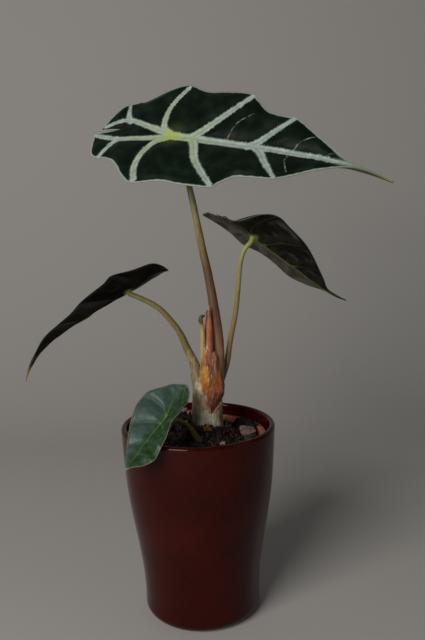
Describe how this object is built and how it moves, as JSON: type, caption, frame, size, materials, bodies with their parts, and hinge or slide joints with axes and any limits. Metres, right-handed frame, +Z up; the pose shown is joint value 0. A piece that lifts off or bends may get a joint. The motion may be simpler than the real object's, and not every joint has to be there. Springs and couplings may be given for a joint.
{
  "type": "potted alocasia",
  "caption": "Young arrow-leaved alocasia in a plastic grow pot inside a flared glazed cover pot, with one tall leaf and smaller leaves hanging round the stem.",
  "frame": {"origin": "centre of the cover pot's flat foot, on the surface the pot stands on", "axes": "+Z up; -Y is the front of the pot, where the small leaf hangs to the left; the tall leaf points to +X"},
  "size_m": [0.2863, 0.1403, 0.4448],
  "materials": {
    "burgundy_glaze": "high gloss glaze",
    "terracotta_plastic": "satin moulded",
    "potting_mix": "loose and moist",
    "pale_stem": "satin, wrinkled",
    "dark_blade": "soft sheen, pale veins",
    "young_blade": "soft sheen",
    "blade_underside": "matte",
    "green_stalk": "satin",
    "brown_stalk": "satin, mottled",
    "dry_husk": "glossy, dried",
    "red_husk": "satin",
    "purple_husk": "dried",
    "bark": "rough",
    "pumice": "rough"
  },
  "bodies": {
    "root": {"pot": "burgundy_glaze", "grow_pot": "terracotta_plastic", "soil": "potting_mix", "stem_base": "pale_stem", "tall_leaf": "dark_blade", "right_leaf": "blade_underside", "left_leaf": "blade_underside", "low_leaf": "young_blade", "tall_stalk": "brown_stalk", "right_stalk": "green_stalk", "left_stalk": "green_stalk", "low_stalk": "green_stalk", "cut_stalk": "green_stalk", "red_scale": "red_husk", "dry_scale": "dry_husk", "purple_scale": "purple_husk", "left_husk": "dry_husk", "front_husk": "dry_husk", "bark_chip_1": "bark", "bark_chip_2": "bark", "bark_chip_3": "bark", "bark_chip_4": "bark", "bark_chip_5": "bark", "pumice_1": "pumice", "pumice_2": "pumice", "pumice_3": "pumice", "pumice_4": "pumice", "pumice_5": "pumice", "pumice_6": "pumice"}
  },
  "joints": []
}
